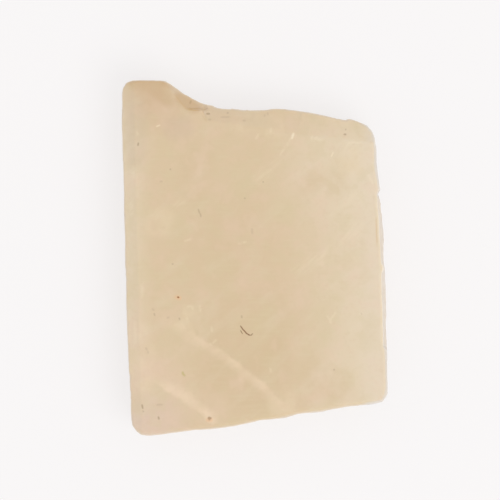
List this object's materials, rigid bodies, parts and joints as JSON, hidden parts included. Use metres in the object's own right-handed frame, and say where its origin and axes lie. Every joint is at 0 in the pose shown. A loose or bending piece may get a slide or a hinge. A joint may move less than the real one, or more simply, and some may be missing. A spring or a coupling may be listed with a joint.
{
  "type": "rough moonstone",
  "caption": "Thin slab of rough cream moonstone with flat sawn faces, broken cleaved sides and a notched corner; lies flat as a mineral specimen or a cutter's rough",
  "frame": {"origin": "middle of the stone's footprint, on the flat back face that it lies on", "axes": "+Z out of the front face, +Y along the slab towards the notched end, +X across the slab; the notch is on the -X side"},
  "size_m": [0.0282, 0.0376, 0.006],
  "materials": {
    "moonstone": "satin, milky and faintly translucent cream feldspar with pale veils and small dark specks"
  },
  "bodies": {
    "root": {"moonstone": "moonstone"}
  },
  "joints": []
}
